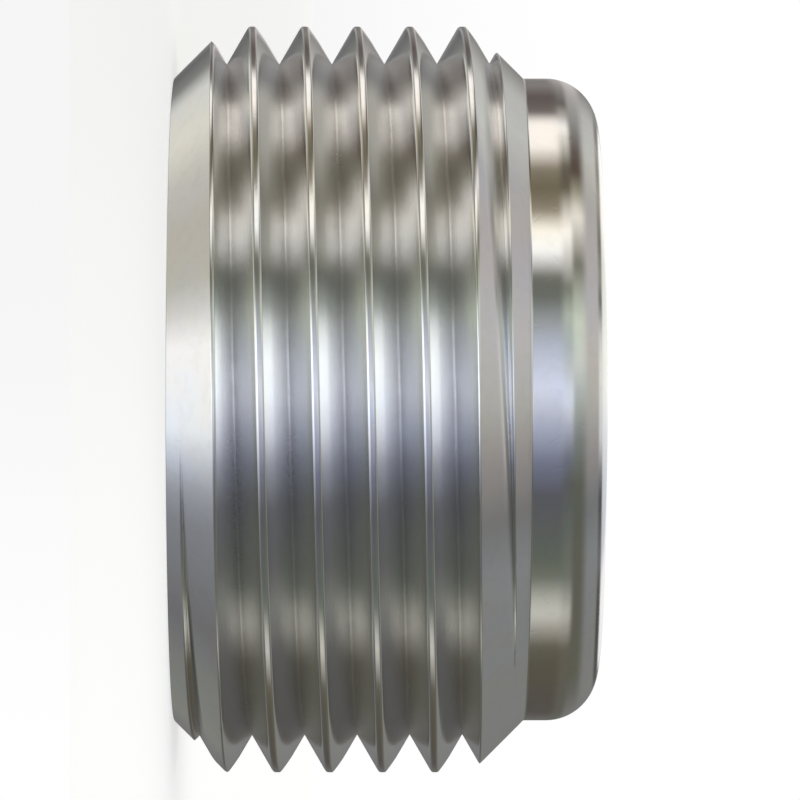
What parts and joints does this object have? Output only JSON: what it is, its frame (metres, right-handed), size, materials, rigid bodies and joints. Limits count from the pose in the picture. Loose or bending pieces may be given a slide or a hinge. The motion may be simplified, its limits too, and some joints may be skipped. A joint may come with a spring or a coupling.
{
  "type": "reducing bushing",
  "caption": "Turned steel reducing bushing: coarse outer thread, inner thread for a smaller conduit, and a plain collar with a rounded throat.",
  "frame": {"origin": "centre of the entry face, on the axis", "axes": "+Z along the axis, from the entry face that takes the smaller conduit towards the plain collar"},
  "size_m": [0.0258, 0.0258, 0.0146],
  "materials": {
    "zinc_plated_steel": "bright zinc plate over turned steel"
  },
  "bodies": {
    "root": {"bushing": "zinc_plated_steel"}
  },
  "joints": []
}
